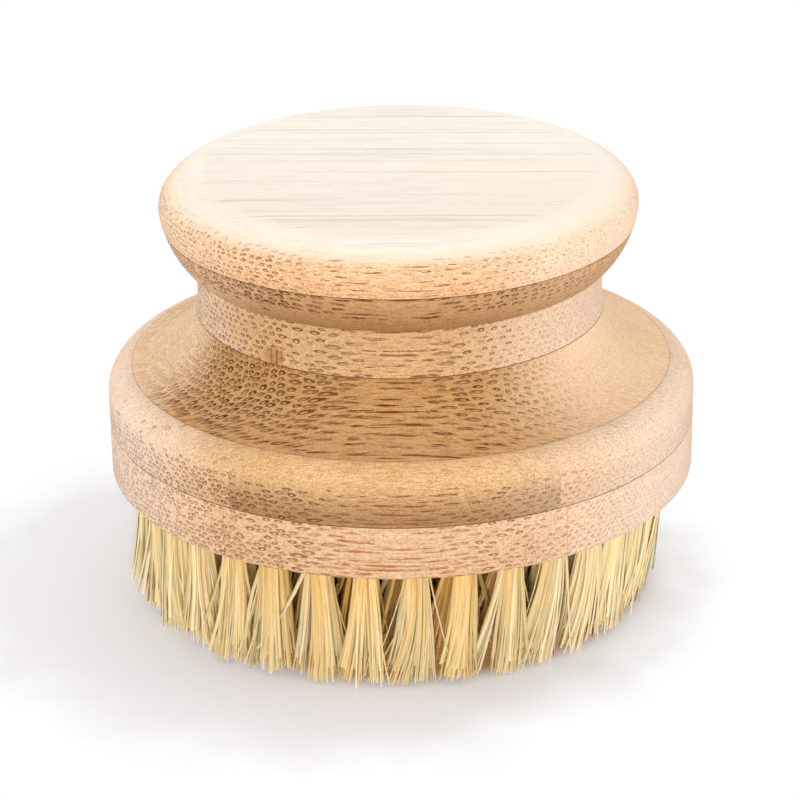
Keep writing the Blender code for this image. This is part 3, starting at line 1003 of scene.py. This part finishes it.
def fibre_cells(count):
    """Map places for every face corner: each fibre has its own square, to keep colours apart."""
    places = []
    for ring in range(FIBRE_POINTS - 1):
        for side in range(FIBRE_SIDES):
            left, right = side / FIBRE_SIDES, (side + 1) / FIBRE_SIDES
            low, high = (0.06 + 0.94 * place / (FIBRE_POINTS - 1) for place in (ring, ring + 1))
            places += [(left, low), (left, high), (right, high), (right, low)]
    for start in (0.0, 0.5):
        places += [(start, 0.0), (start, 0.05), (start + 0.4, 0.05)]
    per_side = math.ceil(math.sqrt(count))
    number = np.arange(count)
    cell = np.stack([number % per_side, number // per_side], 1)
    places = 0.08 + 0.84 * np.array(places)
    return ((cell[:, None] + places[None]) / per_side).reshape(-1, 2)


def fibre_colours(rng, lock):
    """A colour for each fibre: straw tones, half its own and half its lock's."""
    tones = np.array([tone for tone, _ in FIBRE_TONES])
    shares = np.array([share for _, share in FIBRE_TONES])
    picked = tones[rng.choice(len(tones), size=len(lock), p=shares)]
    of_lock = tones[rng.choice(len(tones), size=LOCKS, p=shares)][lock]
    level = rng.normal(1.0, LOCK_LEVEL, LOCKS)[lock] * rng.uniform(*FIBRE_LEVEL, len(lock))
    return np.minimum((0.5 * picked + 0.5 * of_lock) * level[:, None], 1.0)


def fibre_material():
    """Streaked straw fibres: painted warm shade at the roots and inside, painted glare at the sides.
    """
    tree = Tree("plant_fibre")
    own = tree.add("ShaderNodeAttribute", attribute_name="fibre_colour").outputs["Color"]
    coordinates = tree.add("ShaderNodeTexCoord")
    place = tree.vector("SCALE", coordinates.outputs["Object"], scale=1 / MM)
    x, y, z = tree.split(place)
    far = tree.join(x, y, tree.math("MULTIPLY", z, 0.12))
    streak = tree.noise(far, 5.0, 2.0).outputs[0]
    colour = tree.mix(tree.step(streak, 0.50, 0.75, 0.0, 0.30), own, STREAK_FIBRE)
    # Painted warm shade near the roots and among the inner tufts
    root = tree.step(z, 6.0, UNDERSIDE / MM, 0.0, 0.75)
    colour = tree.mix(root, colour, tree.mix(1.0, colour, PAINTED_ROOT_SHADE, "MULTIPLY"))
    inner = tree.step(tree.vector("LENGTH", tree.join(x, y, 0.0)), 38.0, 34.0)
    colour = tree.mix(inner, colour, tree.mix(1.0, colour, PAINTED_INNER_SHADE, "MULTIPLY"))
    # Painted glare at the left and right
    toward = tree.math("DIVIDE", x, tree.vector("LENGTH", tree.join(x, y, 0.01)))
    right = tree.step(toward, 0.25, 0.9, 0.0, 0.75)
    left = tree.step(toward, -0.45, -1.0, 0.0, 0.60)
    colour = tree.mix(tree.math("MAXIMUM", right, left), colour, FIBRE_GLARE)
    tree.feed(tree.shader.inputs["Base Color"], colour)
    tree.shader.inputs["Roughness"].default_value = 0.55
    tree.shader.inputs["Specular IOR Level"].default_value = 0.04
    return tree.material


def fibre_mesh(name, corners, normals, colours, material):
    """One mesh of all fibres, with a colour for each, soft normals and the map for baking."""
    mesh = bpy.data.meshes.new(name)
    mesh.from_pydata(corners.tolist(), [], fibre_faces(len(colours)))
    tones = np.repeat(colours, FIBRE_POINTS * FIBRE_SIDES, axis=0)
    tones = np.hstack([tones, np.ones((len(tones), 1))])
    layer = mesh.color_attributes.new("fibre_colour", "FLOAT_COLOR", "POINT")
    layer.data.foreach_set("color", tones.astype(np.float32).ravel())
    cells = mesh.uv_layers.new(name="OFBake")
    cells.uv.foreach_set("vector", fibre_cells(len(colours)).astype(np.float32).ravel())
    mesh.shade_smooth()
    mesh.normals_split_custom_set_from_vertices(normals.tolist())
    mesh.materials.append(material)
    return mesh


def make_ring(number, radius, count, material):
    """One ring of tufts as one piece of separate fibres, in place of its node."""
    node = f"tuft_ring_{number + 1}" if radius else "tuft_centre"
    rng = np.random.default_rng(FIRST_SEED + number)
    seen = number < SEEN_RINGS
    fibres = OUTER_FIBRES if seen else INNER_FIBRES
    wider = 1.0 if seen else math.sqrt(OUTER_FIBRES / INNER_FIBRES)
    corners, normals, colours = [], [], []
    for x, y, angle in tuft_places(radius, count):
        centre = np.array([x, y])
        lean = rng.normal(0, TUFT_LEAN, 2) - (LEAN_LEFT, 0)
        if number == 0:
            lean -= np.array([math.cos(angle), math.sin(angle)]) * LEAN_IN
        lean[0] -= RIGHT_LEAN * max(0.0, x / BASE_RADIUS)
        paths, widths, lock = fibre_paths(rng, centre, angle, lean, fibres)
        corners.append(fibre_points(rng, paths, wider * widths))
        normals.append(soft_normals(paths, corners[-1], centre))
        colours.append(fibre_colours(rng, lock))
    corners = np.concatenate(corners).reshape(-1, 3)
    normals = np.concatenate(normals).reshape(-1, 3)
    colours = np.concatenate(colours)
    reach = np.hypot(corners[:, 0], corners[:, 1])
    corners[:, :2] *= np.minimum(1.0, (BASE_RADIUS - INSIDE_RIM) / np.maximum(reach, MM))[:, None]
    if number == 0:
        corners[:, 2] -= max(0.0, corners[:, 2].min())

    mesh = fibre_mesh(f"{node}_fibres", corners, normals, colours, material)
    piece = new_object(f"{node}_fibres", mesh)
    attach(piece, "root")
    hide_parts(node)


def make_tufts():
    material = fibre_material()
    for number, (radius, count) in enumerate(tuft_rings()):
        make_ring(number, radius, count, material)


# Camera, floor and light

# The camera stands this far from a point a little up the axis, raised and turned by these angles in
# radians, and is then panned, tilted and rolled to the photograph's framing
LENS = 142.28
SENSOR = 36.0
CLIP = (0.01, 10.0)
CAMERA_DISTANCE = 500 * MM
CAMERA_RISE = 0.4467
CAMERA_YAW = 0.0297
CAMERA_PAN = -0.0004
CAMERA_TILT = 0.0441
CAMERA_ROLL = 0.0138
CAMERA_LIFT = 5 * MM

FLOOR_HALF = 3.0
FLOOR_TONE = srgb(234, 232, 236)
# How much of the seen floor near the brush is painted white, a glow that lightens its shadow
FLOOR_GLOW = 0.25
# Painted brown shade that glows for the camera on the floor under the block, between the tufts, its
# share, and where it ends: millimetres out
PAINTED_GAP_SHADE = srgb(146, 104, 56)
GAP_SHADE_SHARE = 0.85
GAP_SHADE_EDGE = (35.0, 41.5)
# Where the paper fades to white, in millimetres from a place beside the brush
FADE_START = 46.0
FADE_END = 66.0
FADE_CENTRE = (13.0, 3.0)
FADE_RAGGED = 22.0

WORLD_LEVEL = 0.62
# Softboxes: name, place, size and power in watts. Each faces the middle of the block.
LAMPS = (
    ("top_back", (-0.05, 0.22, 0.62), 0.50, 1.05),
    ("left", (-0.55, 0.00, 0.20), 0.40, 0.9),
    ("right", (0.55, -0.06, 0.20), 0.40, 0.9),
    ("front", (0.02, -0.58, 0.12), 0.14, 1.62),
)


def turn_matrix(angle, first, second):
    matrix = np.eye(3)
    matrix[first, first] = matrix[second, second] = math.cos(angle)
    matrix[first, second] = -math.sin(angle)
    matrix[second, first] = math.sin(angle)
    return matrix


def make_camera():
    """The photograph's view, from in front and above, a little to the right."""
    level = math.cos(CAMERA_RISE)
    behind = np.array(
        [level * math.sin(CAMERA_YAW), -level * math.cos(CAMERA_YAW), math.sin(CAMERA_RISE)]
    )
    forward = -behind
    right = np.array([math.cos(CAMERA_YAW), math.sin(CAMERA_YAW), 0.0])
    axes = np.array([right, np.cross(right, forward), forward])
    axes = turn_matrix(CAMERA_PAN, 0, 2) @ axes
    axes = turn_matrix(CAMERA_TILT, 1, 2) @ axes
    axes = turn_matrix(CAMERA_ROLL, 0, 1) @ axes
    place = behind * CAMERA_DISTANCE + np.array([0.0, 0.0, CAMERA_LIFT])
    data = bpy.data.cameras.new("camera")
    data.lens = LENS
    data.sensor_width = SENSOR
    data.clip_start, data.clip_end = CLIP
    camera = new_object("camera", data)
    matrix = Matrix([list(row) for row in np.array([axes[0], axes[1], -axes[2]]).T]).to_4x4()
    camera.matrix_world = Matrix.Translation(place) @ matrix
    bpy.context.scene.camera = camera


def paper():
    """Pale paper that the camera sees fade to white, with painted brown shade under the block and a
    painted white glow lightening its shadow near the brush.
    """
    tree = Tree("paper_floor")
    tree.shader.inputs["Base Color"].default_value = (*FLOOR_TONE, 1.0)
    tree.shader.inputs["Roughness"].default_value = 0.85
    tree.shader.inputs["Specular IOR Level"].default_value = 0.1
    coordinates = tree.add("ShaderNodeTexCoord")
    place = tree.vector("SCALE", coordinates.outputs["Object"], scale=1 / MM)
    x, y, _ = tree.split(place)
    # Painted brown shade, glowing for the camera under the block, between the tufts
    open_floor = tree.step(tree.vector("LENGTH", tree.join(x, y, 0.0)), *GAP_SHADE_EDGE)
    x, y = (tree.math("ADD", part, shift) for part, shift in zip((x, y), FADE_CENTRE))
    uneven = tree.math("SUBTRACT", tree.noise(place, 0.05, 3.0).outputs[0], 0.5)
    away = tree.vector("LENGTH", tree.join(x, y, 0.0))
    away = tree.math("MULTIPLY_ADD", uneven, FADE_RAGGED, away)
    # A painted white glow over the floor's shadow near the brush, rising to the white backdrop
    share = tree.step(away, FADE_START, FADE_END, FLOOR_GLOW, 1.0)
    share = tree.math("SUBTRACT", share, GAP_SHADE_SHARE)
    share = tree.math("MULTIPLY_ADD", share, open_floor, GAP_SHADE_SHARE)
    glow = tree.mix(open_floor, PAINTED_GAP_SHADE, (1.0, 1.0, 1.0))
    plain = tree.add("ShaderNodeEmission", {"Color": glow, "Strength": 1.0})
    rays = tree.add("ShaderNodeLightPath")
    seen = tree.math("MULTIPLY", share, rays.outputs["Is Camera Ray"])
    shaders = {0: seen, 1: tree.shader.outputs[0], 2: plain.outputs[0]}
    blend = tree.add("ShaderNodeMixShader", shaders)
    tree.links.new(blend.outputs[0], tree.nodes["Material Output"].inputs["Surface"])
    return tree.material


def make_floor():
    """A sheet of paper that fades to a white studio ground."""
    mesh = bpy.data.meshes.new("floor")
    shape = bmesh.new()
    bmesh.ops.create_grid(shape, x_segments=1, y_segments=1, size=FLOOR_HALF)
    shape.to_mesh(mesh)
    shape.free()
    mesh.materials.append(paper())
    new_object("floor", mesh)


def make_world():
    """White where it is seen or mirrored, and dimmer as a light."""
    world = bpy.data.worlds.new("studio")
    world.use_nodes = True
    nodes, links = world.node_tree.nodes, world.node_tree.links
    surround = nodes["Background"]
    surround.inputs["Color"].default_value = (1.0, 1.0, 1.0, 1.0)
    rays = nodes.new("ShaderNodeLightPath")
    direct = nodes.new("ShaderNodeMath")
    direct.operation = "MAXIMUM"
    links.new(rays.outputs["Is Camera Ray"], direct.inputs[0])
    links.new(rays.outputs["Is Glossy Ray"], direct.inputs[1])
    level = nodes.new("ShaderNodeMapRange")
    links.new(direct.outputs[0], level.inputs["Value"])
    level.inputs["To Min"].default_value = WORLD_LEVEL
    level.inputs["To Max"].default_value = 1.0
    links.new(level.outputs[0], surround.inputs["Strength"])
    bpy.context.scene.world = world


def make_lamps():
    middle = Vector((0, 0, (cad_box[0].z + cad_box[1].z) / 2))
    for name, place, size, power in LAMPS:
        data = bpy.data.lights.new(name, "AREA")
        data.shape = "DISK"
        data.size = size
        data.energy = power
        lamp = new_object(name, data)
        lamp.location = place
        lamp.rotation_mode = "QUATERNION"
        lamp.rotation_quaternion = (middle - Vector(place)).to_track_quat("-Z", "Y")


make_camera()
make_strips()
make_tufts()
make_floor()
make_world()
make_lamps()
bpy.context.scene.view_settings.view_transform = "Standard"
